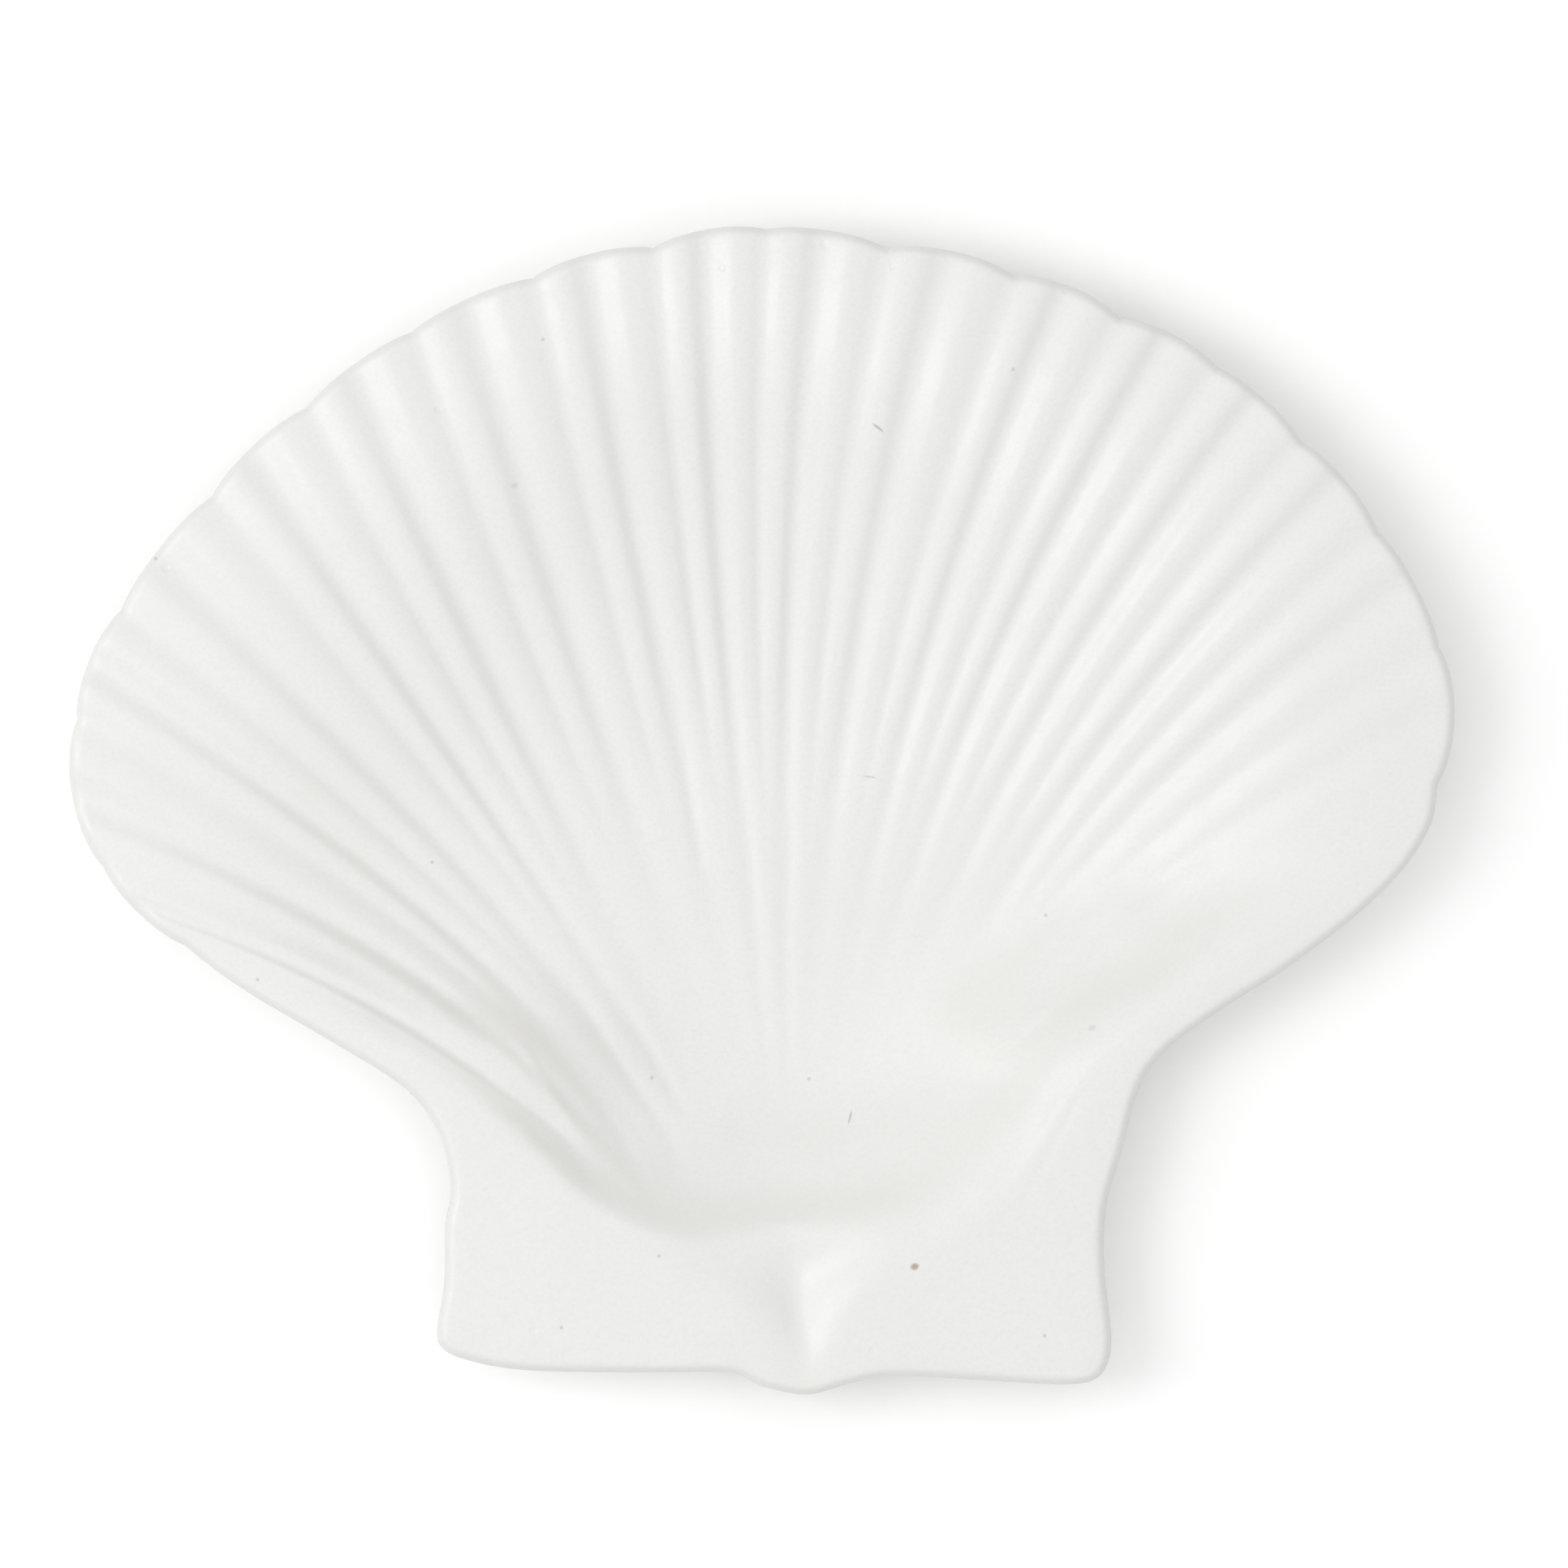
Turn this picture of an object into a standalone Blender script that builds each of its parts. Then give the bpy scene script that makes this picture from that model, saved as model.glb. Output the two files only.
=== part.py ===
"""Scallop shell platter: one glazed ceramic piece, metres, +Z up, beak towards -Y, foot ring on z = 0."""

import math

import bmesh
import bpy
import numpy as np
from mathutils import Vector
from mathutils.bvhtree import BVHTree

# Driving sizes
WIDTH = 0.300  # across the fan, left to right
DEPTH = 0.253  # from the beak to the top of the fan
HEIGHT = 0.026  # from the table to the highest rib crest on the rim
WALL = 0.0046  # thickness of the ware, measured square to the surface
RIB_HEIGHT = 0.0012  # from groove to crest at the rim
EAR_DROP = 0.0010  # how far the flat ears lie below the highest crest
FOOT_HEIGHT = 0.0026
FOOT_WIDTH = 0.094
FOOT_DEPTH = 0.084
FOOT_WALL = 0.0050

# Proportions. Points in plan are (share of WIDTH, share of DEPTH) from the middle of the outline.
# Stations run clockwise round the rim from the lower left groove: 0 to 17 are the rim notches of the
# grooves, 18 to 48 follow the smooth right flank, the right ear, the beak, the left ear and the left neck.
NOTCHES = [
    (-0.415, -0.115), (-0.474, -0.048), (-0.493, 0.079), (-0.461, 0.173), (-0.396, 0.270), (-0.328, 0.346),
    (-0.252, 0.411), (-0.165, 0.457), (-0.078, 0.483), (0.003, 0.499), (0.090, 0.483), (0.182, 0.459),
    (0.258, 0.423), (0.328, 0.381), (0.389, 0.317), (0.444, 0.240), (0.488, 0.141), (0.487, 0.024),
]
RIGHT_FLANK = [(0.478, -0.021), (0.446, -0.070), (0.387, -0.127), (0.328, -0.172), (0.287, -0.209)]
RIGHT_EAR = [
    (0.270, -0.243), (0.261, -0.285), (0.248, -0.340), (0.247, -0.393), (0.252, -0.448), (0.249, -0.474),
    (0.238, -0.488), (0.211, -0.491), (0.153, -0.487), (0.094, -0.484),
]
BEAK = [(0.062, -0.491), (0.033, -0.500), (0.001, -0.493)]
LEFT_EAR = [
    (-0.023, -0.481), (-0.081, -0.481), (-0.169, -0.479), (-0.213, -0.470), (-0.230, -0.460), (-0.234, -0.445),
    (-0.229, -0.406), (-0.228, -0.354), (-0.224, -0.323),
]
LEFT_NECK = [(-0.232, -0.278), (-0.257, -0.237), (-0.316, -0.193), (-0.374, -0.152)]
# How far each lobe of the rim swells beyond the straight line between its notches, as a share of that line.
LOBE_SWELL = [
    0.080, 0.124, 0.096, 0.063, 0.070, 0.060, 0.060, 0.080, 0.085,
    0.070, 0.085, 0.095, 0.085, 0.065, 0.073, 0.065, 0.120,
]
# Every rib leaves an oval at the hinge and bends through a waist point on its way to the rim.
HINGE = (0.021, -0.354)
HINGE_REACH = (0.105, 0.045)
# (station, degrees clockwise from the top of the oval)
HINGE_TURN = [
    (0, -84), (1, -73), (2, -61), (3, -45), (4, -32), (5, -23), (6, -15), (7, -9), (8, -4), (9, 0), (10, 4),
    (11, 9), (12, 15), (13, 23), (14, 32), (15, 45), (16, 61), (17, 73), (19, 84), (21, 92), (23, 98), (25, 106),
    (27, 118), (29, 132), (31, 150), (33, 168), (35, 188), (37, 205), (39, 222), (41, 238), (43, 250),
    (45, 260), (47, 269),
]
WAIST = [
    (0, -0.244, -0.180), (1, -0.216, -0.149), (2, -0.180, -0.127), (3.5, -0.147, -0.112), (5, -0.142, -0.069),
    (6, -0.122, -0.013), (7, -0.086, 0.044), (8.5, -0.030, 0.077), (10, 0.021, 0.074), (11.5, 0.076, 0.056),
    (13, 0.116, 0.017), (14.5, 0.155, -0.024), (16, 0.175, -0.068), (17, 0.189, -0.105), (19, 0.203, -0.157),
    (21, 0.194, -0.223), (23, 0.182, -0.278), (25, 0.179, -0.334), (27, 0.167, -0.389), (29, 0.147, -0.417),
    (31, 0.106, -0.427), (33, 0.047, -0.434), (35, 0.006, -0.434), (37, -0.052, -0.425), (39, -0.117, -0.417),
    (41, -0.137, -0.399), (43, -0.146, -0.354), (45, -0.163, -0.292), (46, -0.178, -0.264),
    (47, -0.203, -0.233), (48, -0.228, -0.205),
]
# The bowl deepens towards BOWL_CENTRE. Its upper edge follows the fan close to the rim, then these points past
# the right flank, the right ear, the pointed beak hollow, the left ear and the left neck.
BOWL_CENTRE = (0.012, -0.174)
EDGE_PAST_EARS = [
    (0.475, -0.008), (0.440, -0.056), (0.381, -0.113), (0.323, -0.158), (0.273, -0.210), (0.238, -0.275),
    (0.203, -0.330), (0.153, -0.378), (0.100, -0.400), (0.062, -0.412), (0.027, -0.418), (-0.008, -0.413),
    (-0.040, -0.403), (-0.081, -0.384), (-0.119, -0.355), (-0.152, -0.321), (-0.184, -0.285),
    (-0.219, -0.245), (-0.269, -0.203), (-0.327, -0.169), (-0.374, -0.144), (-0.418, -0.112),
]
RIM_BORDER = 0.008  # share of WIDTH between the bowl edge and the rim of the fan
# (degrees anticlockwise from +X, power, share): how the floor curves up, and the share of the way that levels off.
RISE = [
    (0, 2.4, 0.40), (30, 2.5, 0.50), (60, 2.7, 0.46), (90, 2.5, 0.30), (120, 2.4, 0.36), (150, 2.2, 0.46),
    (175, 2.3, 0.42), (190, 2.6, 0.27), (203, 2.7, 0.14), (220, 2.7, 0.08), (236, 2.4, 0.10), (258, 2.1, 0.12),
    (284, 2.1, 0.14), (305, 2.1, 0.34), (335, 2.3, 0.40),
]
# (station, share): how strong the ribs are.
RIB_SHARE = [
    (0, 0.45), (0.5, 0.65), (1, 0.40), (1.5, 1.0), (2, 0.85), (3, 1.1), (9, 1.0), (13, 1.1), (15, 0.85), (16, 0.50),
    (17, 0.15), (18, 0.0), (47, 0.0), (48, 0.10),
]
# (station, share): how far from the hinge the ribs begin.
RIB_START = [(0, 0.04), (4, 0.05), (7, 0.08), (9, 0.06), (12, 0.12), (14, 0.20), (17, 0.30), (48, 0.05)]
RIB_SPLIT = 0.30  # share of the way to the rim where the two ribs of a lobe begin to part
RIB_SPLIT_LENGTH = 0.35
# (degrees, share): how much of the rim height belongs to the ears.
EAR_SHARE = [(10, 0.0), (90, 0.0), (170, 0.0), (200, 1.0), (270, 1.0), (335, 1.0)]
FOOT_CENTRE = (0.004, -0.070)
# The pointed hollow in the beak: two facets that meet along an axis and run down from its tip into the bowl.
PIT_TIP = (0.033, -0.481)
PIT_TOWARDS = (0.023, -0.389)
PIT_FALL = 0.30  # slope along the axis
PIT_SIDE = 0.62  # slope of each side at the tip
PIT_FLARE = 0.030  # the sides spread out over this distance from the tip
PIT_LENGTH = 0.030  # it fades out beyond about this distance from the tip
PIT_ROUNDING = 0.0016
PIT_BLEND = 0.0030  # how softly it opens into the bowl
FLOOR_BLEND = 0.014  # the floor's curvature is evened out over this distance
FLOOR_PART = 0.65  # from this far inside the bowl edge
# (station, share): how much of each column lies inside the bowl.
BOWL_PART = [
    (0, 0.93), (1, 0.955), (9, 0.965), (16, 0.955), (17, 0.94), (19, 0.90), (21, 0.84), (23, 0.74), (25, 0.62),
    (27, 0.48), (29, 0.42), (31, 0.55), (33, 0.72), (35, 0.72), (37, 0.55), (39, 0.42), (41, 0.42), (43, 0.48),
    (45, 0.58), (46, 0.68), (47, 0.80), (48, 0.89),
]

# Mesh steps
LAST_NOTCH = len(NOTCHES) - 1
LOBE_STEPS = (0.0, 0.08, 0.23, 0.35, 0.47, 0.61, 0.74, 0.91)  # groove, crest, wide valley, crest
EXTRA_STEPS = (19.5, 20.5, 25.5, 26.5, 30.5, 36.5, 37.5, 42.5, 46.5, 47.5)
HINGE_STEPS = (0.35, 0.7, 1.0)
TOP_STEPS = (0.05, 0.12, 0.22, 0.34, 0.46, 0.58, 0.69, 0.79, 0.88, 0.95, 1.0)
BORDER_STEPS = (0.5, 1.0)
EDGE_ANGLES = (45.0, 90.0, 135.0)
UNDER_STEPS = (1.0, 0.92, 0.82, 0.70, 0.56, 0.42, 0.30, 0.19, 0.09, 0.0)
PATH_POINTS = 60
SLOPE_STEP = 0.0005
BLEND_STEPS = 12
FOOT_STEPS = 56
SIDE_GROOVE = 0.23  # where the first crest stands between two grooves
WIDE_VALLEY = 0.47
SECOND_CREST = 0.74
GROOVE_DEPTH = 0.45
GROOVE_SOFTNESS = [(0, 0.5), (1, 0.5), (2, 0.12), (16, 0.12), (18, 0.4), (47, 0.5)]  # (station, share of its side)
UNDER_RIBS = 0.55  # share of the rib height that shows under the platter


def through(keys, at, turn):
    """A smooth closed curve through (station, value...) keys, read at the stations in at."""
    table = np.array(keys, float)
    knots, values = table[:, 0], table[:, 1:]
    knots = np.concatenate([knots[-2:] - turn, knots, knots[:2] + turn])
    values = np.concatenate([values[-2:], values, values[:2]])
    slopes = (values[2:] - values[:-2]) / (knots[2:] - knots[:-2])[:, None]
    at = np.mod(np.asarray(at, float), turn)
    left = np.clip(np.searchsorted(knots, at, side="right") - 1, 1, len(knots) - 3)
    span = (knots[left + 1] - knots[left])[:, None]
    u = (at - knots[left])[:, None] / span
    start, end = values[left], values[left + 1]
    bend = u * (1 - u) ** 2 * slopes[left - 1] * span - u * u * (1 - u) * slopes[left] * span
    return start * (1 + 2 * u) * (1 - u) ** 2 + end * u * u * (3 - 2 * u) + bend


def scaled(shares):
    return np.asarray(shares, float) * (WIDTH, DEPTH)


RIM = NOTCHES + RIGHT_FLANK + RIGHT_EAR + BEAK + LEFT_EAR + LEFT_NECK
TURN = float(len(RIM))


def rim_shares(stations):
    """The outline in plan: swelling lobes between the notches, a smooth curve elsewhere."""
    keys = [(i, *point) for i, point in enumerate(RIM)]
    points = through(keys, stations, TURN)
    for row, station in enumerate(stations):
        lobe = int(station)
        if lobe >= LAST_NOTCH:
            continue
        u = station - lobe
        start, end = scaled(NOTCHES[lobe]), scaled(NOTCHES[lobe + 1])
        along = end - start
        outward = np.array([-along[1], along[0]])
        swell = LOBE_SWELL[lobe] * (4 * u * (1 - u)) ** 0.85
        points[row] = (start + u * along + swell * outward) / (WIDTH, DEPTH)
    return points


def rim_points(stations):
    """The outline fitted exactly into WIDTH by DEPTH."""
    whole = rim_shares(mesh_stations())
    low, high = whole.min(axis=0), whole.max(axis=0)
    return scaled((rim_shares(stations) - low) / (high - low) - 0.5)


def mesh_stations():
    lobes = [lobe + step for lobe in range(LAST_NOTCH) for step in LOBE_STEPS]
    return np.array(sorted(lobes + list(range(LAST_NOTCH, len(RIM))) + list(EXTRA_STEPS)), float)


def hinge_points(stations):
    """Where each column leaves the hinge oval."""
    turns = [(station, math.radians(turn)) for station, turn in HINGE_TURN]
    keys = [(station, math.sin(turn), math.cos(turn)) for station, turn in turns]
    around = through(keys, stations, TURN)
    around /= np.hypot(*around.T)[:, None]
    return scaled(np.array(HINGE) + around * HINGE_REACH)


def rib_profile(stations):
    """Rib height from -1 to 1 across a lobe: sharp groove, crest, wide valley, crest, sharp groove."""
    u = np.mod(stations, 1.0)
    soft = through(GROOVE_SOFTNESS, stations, TURN)[:, 0]
    first, last = (
        1 - (1 + GROOVE_DEPTH) * np.clip(1 + 0.5 * soft - np.hypot(way, soft), 0, 1) ** 2.2
        for way in (u / SIDE_GROOVE, (1 - u) / (1 - SECOND_CREST))
    )
    down = np.cos(math.pi * np.clip((u - SIDE_GROOVE) / (WIDE_VALLEY - SIDE_GROOVE), 0, 1))
    up = -np.cos(math.pi * np.clip((u - WIDE_VALLEY) / (SECOND_CREST - WIDE_VALLEY), 0, 1))
    outer = np.where(u < SECOND_CREST, up, last)
    profile = np.where(u < SIDE_GROOVE, first, np.where(u < WIDE_VALLEY, down, outer))
    return np.where(stations > TURN - 1, last, profile)


def ramp(share):
    share = np.clip(share, 0, 1)
    return share * share * (3 - 2 * share)


def rim_normals(stations):
    """Unit directions square to the outline, pointing inwards."""
    step = 0.04
    along = rim_points(np.mod(stations + step, TURN)) - rim_points(np.mod(stations - step, TURN))
    return np.column_stack([along[:, 1], -along[:, 0]]) / np.hypot(*along.T)[:, None]


def column_paths(stations):
    """For each station the way from the hinge to the start of the rounded edge, with the rim point beyond it."""
    hinge, rim = hinge_points(stations), rim_points(stations)
    waist = scaled(through(WAIST, stations, TURN))
    inner = rim + 0.5 * WALL * rim_normals(stations)
    t = np.linspace(0, 1, PATH_POINTS)[:, None]
    ends = zip(hinge, waist, inner)
    curves = [(1 - t) ** 2 * near + 2 * t * (1 - t) * bend + t * t * far for near, bend, far in ends]
    return curves, rim


def edge_polygon():
    """The upper edge of the bowl in plan, as one closed loop of points."""
    centre = scaled(BOWL_CENTRE)
    fan = rim_points(np.arange(1.0, LAST_NOTCH))
    reach = np.hypot(*(fan - centre).T)[:, None]
    fan = centre + (fan - centre) * (1 - RIM_BORDER * WIDTH / reach)
    return np.concatenate([fan, scaled(EDGE_PAST_EARS)])


def polar(plan):
    """Angle in degrees and distance from the middle of the bowl."""
    off = plan - scaled(BOWL_CENTRE)
    return np.mod(np.degrees(np.arctan2(off[..., 1], off[..., 0])), 360), np.hypot(off[..., 0], off[..., 1])


def edge_keys():
    angle, distance = polar(edge_polygon())
    order = np.argsort(angle)
    return np.column_stack([angle[order], distance[order]])


def bowl_share(plan):
    """0 in the middle of the bowl, 1 on its upper edge, with the angle of each point."""
    angle, distance = polar(plan)
    return distance / through(EDGE_KEYS, angle, 360.0)[:, 0], angle


def climb(share, power, level):
    """The height gained on the way out: the slope grows as a power of the way, then levels off."""
    start = 1 - level
    height = np.minimum(share, start) ** power / power
    rest = np.clip(share - start, 0, level)
    for place, weight in zip(*np.polynomial.legendre.leggauss(6)):
        way = 0.5 * rest * (1 + place)
        height += 0.5 * rest * weight * (start + way) ** (power - 1) * (1 - ramp(way / level))
    return height


def sharp_height(plan):
    """Share of the full depth, 0 in the middle of the floor and 1 on the level border."""
    share, angle = bowl_share(plan)
    power, level = through(RISE, angle, 360.0).T
    return climb(share, power, level) / climb(np.ones(len(share)), power, level)


def bowl_height(plan):
    """The share of the full depth, averaged over small rings on the floor so that no crease shows there."""
    reach = FLOOR_BLEND * ramp((1 - bowl_share(plan)[0]) / FLOOR_PART)[:, None]
    total = sharp_height(plan)
    for step in range(BLEND_STEPS):
        turn = math.tau * step / BLEND_STEPS
        size = reach * (1.0 if step % 2 else 0.5)
        total += sharp_height(plan + size * (math.cos(turn), math.sin(turn)))
    return total / (BLEND_STEPS + 1)


def rib_reach(share, start):
    """The ribs grow from nothing near the hinge to full height on the outer third of their way."""
    return ramp((share - start) / 0.50) * np.clip(share / 0.85, 0, 1) ** 1.2


def rib_relief(stations, way):
    """Height of the ribs over the smooth bowl, for rows by columns. Near the hinge each lobe has one broad rib."""
    share = np.clip(through(RIB_SHARE, stations, TURN)[:, 0], 0, 1)
    start = through(RIB_START, stations, TURN)[:, 0]
    broad = -np.cos(2 * math.pi * stations)
    profile = broad + ramp((way - RIB_SPLIT) / RIB_SPLIT_LENGTH) * (rib_profile(stations) - broad)
    return 0.5 * RIB_HEIGHT * share * profile * rib_reach(way, start)


def pit_depth(plan):
    """Depth of the pointed hollow in the beak."""
    tip = scaled(PIT_TIP)
    axis = scaled(PIT_TOWARDS) - tip
    axis /= np.hypot(*axis)
    along = (plan - tip) @ axis
    across = (plan - tip) @ np.array([-axis[1], axis[0]])
    side = PIT_SIDE / (1 + (along / PIT_FLARE) ** 2)
    depth = PIT_FALL * along - side * (np.sqrt(across**2 + PIT_ROUNDING**2) - PIT_ROUNDING)
    return 0.5 * (depth + np.sqrt(depth**2 + PIT_ROUNDING**2)) * np.exp(-((along / PIT_LENGTH) ** 4))


def surface_height(plan):
    """Height of the smooth inside surface, before any ribs."""
    share = bowl_height(plan)
    ear = np.clip(through(EAR_SHARE, polar(plan)[0], 360.0)[:, 0], 0, 1)
    rim = HEIGHT - 0.5 * RIB_HEIGHT * (1 - ear) - EAR_DROP * ear
    bowl = (rim - FOOT_HEIGHT - WALL) * (1 - share)
    pit = pit_depth(plan)
    blend = PIT_BLEND * ramp(pit / PIT_BLEND)
    return rim - 0.5 * (bowl + pit + np.sqrt((bowl - pit) ** 2 + blend**2) - blend)


def heights(plan, relief):
    """Height of the inside and of the underside over points of one column."""
    base = surface_height(plan)
    tilt = np.zeros(len(plan))
    for shift in ((SLOPE_STEP, 0), (0, SLOPE_STEP)):
        tilt += ((surface_height(plan + shift) - surface_height(plan - np.array(shift))) / (2 * SLOPE_STEP)) ** 2
    return base + relief, base - WALL * np.sqrt(1 + tilt) + UNDER_RIBS * relief


def shell_rows():
    """Rows of points from the hinge over the inside, round the rim and back under the platter."""
    stations = mesh_stations()
    part = through(BOWL_PART, stations, TURN)[:, 0]
    middle = scaled(HINGE)
    curves, rim = column_paths(stations)
    columns = []
    for i, curve in enumerate(curves):
        lead = middle + (curve[0] - middle) * np.array(HINGE_STEPS)[:-1, None]
        points = np.concatenate([lead, curve])
        covered = np.concatenate([[0], np.cumsum(np.hypot(*np.diff(points, axis=0).T))])
        start, edge = covered[len(lead)], covered[-1]
        turn = start + part[i] * (edge - start)
        top, under = heights(points, rib_relief(stations[i : i + 1], covered[:, None] / edge)[:, 0])

        def at(distance, height):
            return (
                np.interp(distance, covered, points[:, 0]),
                np.interp(distance, covered, points[:, 1]),
                np.interp(distance, covered, height),
            )

        column = [(*points[k], top[k]) for k in range(len(lead) + 1)]
        column += [at(start + step * (turn - start), top) for step in TOP_STEPS]
        column += [at(turn + step * (edge - turn), top) for step in BORDER_STEPS]
        centre, half = 0.5 * (top[-1] + under[-1]), 0.5 * (top[-1] - under[-1])
        for angle in EDGE_ANGLES:
            round_turn = math.radians(angle)
            plan = curve[-1] + (rim[i] - curve[-1]) * math.sin(round_turn)
            column.append((*plan, centre + half * math.cos(round_turn)))
        column += [at(start + step * (edge - start), under) for step in UNDER_STEPS]
        columns.append(column)
    rows = np.array(columns).transpose(1, 0, 2)
    top, under = heights(middle[None, :], 0.0)
    return rows, (*middle, top[0]), (*middle, under[0])


def shell_mesh():
    """The closed shell: a loft through the rows, with a fan of faces at each end."""
    rows, inside, outside = shell_rows()
    bm = bmesh.new()
    rings = [[bm.verts.new(point) for point in row] for row in rows]
    top_pole, under_pole = bm.verts.new(inside), bm.verts.new(outside)
    count = len(rings[0])
    for i in range(count):
        after = (i + 1) % count
        bm.faces.new((top_pole, rings[0][after], rings[0][i]))
        bm.faces.new((under_pole, rings[-1][i], rings[-1][after]))
        for near, far in zip(rings, rings[1:]):
            bm.faces.new((near[i], near[after], far[after], far[i]))
    bmesh.ops.recalc_face_normals(bm, faces=bm.faces)
    return bm


def foot_mesh(shell):
    """The oval foot ring: a section turned round, its top edge carried up into the wall of the shell."""
    bm = bmesh.new()
    radius = 0.5 * FOOT_WIDTH
    rounding = 0.18 * FOOT_WALL
    outline = [
        (radius - FOOT_WALL, 2 * FOOT_HEIGHT),
        (radius - FOOT_WALL, 0.35 * FOOT_HEIGHT),
        (radius - FOOT_WALL + rounding, 0.0),
        (radius - rounding, 0.0),
        (radius, 0.35 * FOOT_HEIGHT),
        (radius, 2 * FOOT_HEIGHT),
    ]
    corners = [bm.verts.new((r, 0, z)) for r, z in outline]
    edges = [bm.edges.new((a, b)) for a, b in zip(corners, corners[1:] + corners[:1])]
    bmesh.ops.spin(
        bm, geom=corners + edges, cent=(0, 0, 0), axis=(0, 0, 1), angle=2 * math.pi, steps=FOOT_STEPS, use_merge=True
    )
    bmesh.ops.remove_doubles(bm, verts=bm.verts, dist=1e-5)
    middle = Vector((*scaled(FOOT_CENTRE), 0))
    under = BVHTree.FromBMesh(shell)
    for vert in bm.verts:
        is_top = vert.co.z > FOOT_HEIGHT
        vert.co.y *= FOOT_DEPTH / FOOT_WIDTH
        vert.co += middle
        if is_top:
            hit = under.ray_cast(Vector((vert.co.x, vert.co.y, -HEIGHT)), Vector((0, 0, 1)))[0]
            vert.co.z = hit.z + 0.35 * WALL
    bmesh.ops.recalc_face_normals(bm, faces=bm.faces)
    return bm


def finish(bm, name, collection):
    mesh = bpy.data.meshes.new(name)
    bm.to_mesh(mesh)
    bm.free()
    obj = bpy.data.objects.new(name, mesh)
    collection.objects.link(obj)
    return obj


def glaze_material():
    material = bpy.data.materials.new("white_glaze")
    material.use_nodes = True
    shader = material.node_tree.nodes["Principled BSDF"]
    shader.inputs["Base Color"].default_value = (0.82, 0.82, 0.80, 1.0)
    shader.inputs["Roughness"].default_value = 0.38
    return material


EDGE_KEYS = edge_keys()


def main():
    for obj in list(bpy.data.objects):
        bpy.data.objects.remove(obj, do_unlink=True)
    parts = bpy.data.collections.new("shell_platter_parts")
    helpers = bpy.data.collections.new("shell_platter_helpers")
    for collection in (parts, helpers):
        bpy.context.scene.collection.children.link(collection)
    shell = shell_mesh()
    foot = foot_mesh(shell)
    platter = finish(shell, "shell_platter", parts)
    ring = finish(foot, "foot_ring_tool", helpers)
    ring.hide_render = True
    ring.display_type = "WIRE"
    join = platter.modifiers.new("join_foot_ring", "BOOLEAN")
    join.operation = "UNION"
    join.solver = "EXACT"
    join.object = ring
    join.show_render = join.show_viewport
    platter.data.materials.append(glaze_material())
    platter.data.polygons.foreach_set("use_smooth", [True] * len(platter.data.polygons))
    platter.data.set_sharp_from_angle(angle=math.radians(50))


main()
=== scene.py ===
"""Looks of the scallop shell platter: its glazed surface as a fine mesh with a procedural glaze.

The camera looks straight down on it.
"""

import math

import bmesh
import bpy
import numpy as np
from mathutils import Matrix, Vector


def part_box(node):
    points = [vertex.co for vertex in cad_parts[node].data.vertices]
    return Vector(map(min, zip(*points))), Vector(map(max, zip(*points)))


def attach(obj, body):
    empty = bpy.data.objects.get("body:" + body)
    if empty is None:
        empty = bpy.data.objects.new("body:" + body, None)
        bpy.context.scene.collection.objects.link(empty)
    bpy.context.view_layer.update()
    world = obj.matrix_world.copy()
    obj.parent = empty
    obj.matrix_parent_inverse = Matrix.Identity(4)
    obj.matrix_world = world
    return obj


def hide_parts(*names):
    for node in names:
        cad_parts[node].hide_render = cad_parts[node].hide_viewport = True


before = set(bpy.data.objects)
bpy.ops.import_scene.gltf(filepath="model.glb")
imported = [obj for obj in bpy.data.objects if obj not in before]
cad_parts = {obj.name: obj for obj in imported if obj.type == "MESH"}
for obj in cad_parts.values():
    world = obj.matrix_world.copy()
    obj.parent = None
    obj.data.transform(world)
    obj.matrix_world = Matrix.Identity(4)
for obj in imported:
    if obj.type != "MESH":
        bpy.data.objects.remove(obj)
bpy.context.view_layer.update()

# Driving sizes in metres. The overall ones are those of the solid.
LOW, HIGH = (np.array(corner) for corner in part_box("shell_platter"))
WIDTH, DEPTH, HEIGHT = HIGH - LOW
WALL = 0.0046
RIB_HEIGHT = 0.0012
EAR_DROP = 0.0010  # how far the rim of the ears lies under the highest crest
TOP_CLEARANCE = 0.00001  # the highest crest stays this far under HEIGHT
FOOT_HEIGHT = 0.0026
FOOT_WIDTH = 0.094
FOOT_DEPTH = 0.084
FOOT_WALL = 0.0050
FOOT_ROUNDING = 0.18  # share of FOOT_WALL
RING_FILLET = 0.0022
FILLET_SINK = 0.00015  # how far the fillets reach into the wall

# Outline. Points in plan are (share of WIDTH, share of DEPTH) from the middle of the outline.
# Stations run clockwise round the rim from the lower left groove: 0 to 17 are the rim notches of the
# grooves, 18 to 48 follow the smooth right flank, the right ear, the beak, the left ear and the left neck.
NOTCHES = [
    (-0.415, -0.115), (-0.474, -0.048), (-0.493, 0.079), (-0.461, 0.173), (-0.396, 0.270), (-0.328, 0.346),
    (-0.252, 0.411), (-0.165, 0.457), (-0.078, 0.483), (0.003, 0.499), (0.090, 0.483), (0.182, 0.459),
    (0.258, 0.423), (0.328, 0.381), (0.389, 0.317), (0.444, 0.240), (0.488, 0.141), (0.487, 0.024),
]
RIGHT_FLANK = [(0.478, -0.021), (0.446, -0.070), (0.387, -0.127), (0.328, -0.172), (0.287, -0.209)]
RIGHT_EAR = [
    (0.270, -0.243), (0.261, -0.285), (0.248, -0.340), (0.247, -0.393), (0.252, -0.448), (0.249, -0.474),
    (0.238, -0.488), (0.211, -0.491), (0.153, -0.487), (0.094, -0.484),
]
BEAK = [(0.062, -0.491), (0.033, -0.500), (0.001, -0.493)]
LEFT_EAR = [
    (-0.023, -0.481), (-0.081, -0.481), (-0.169, -0.479), (-0.213, -0.470), (-0.230, -0.460),
    (-0.234, -0.445), (-0.229, -0.406), (-0.228, -0.354), (-0.224, -0.323),
]
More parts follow.
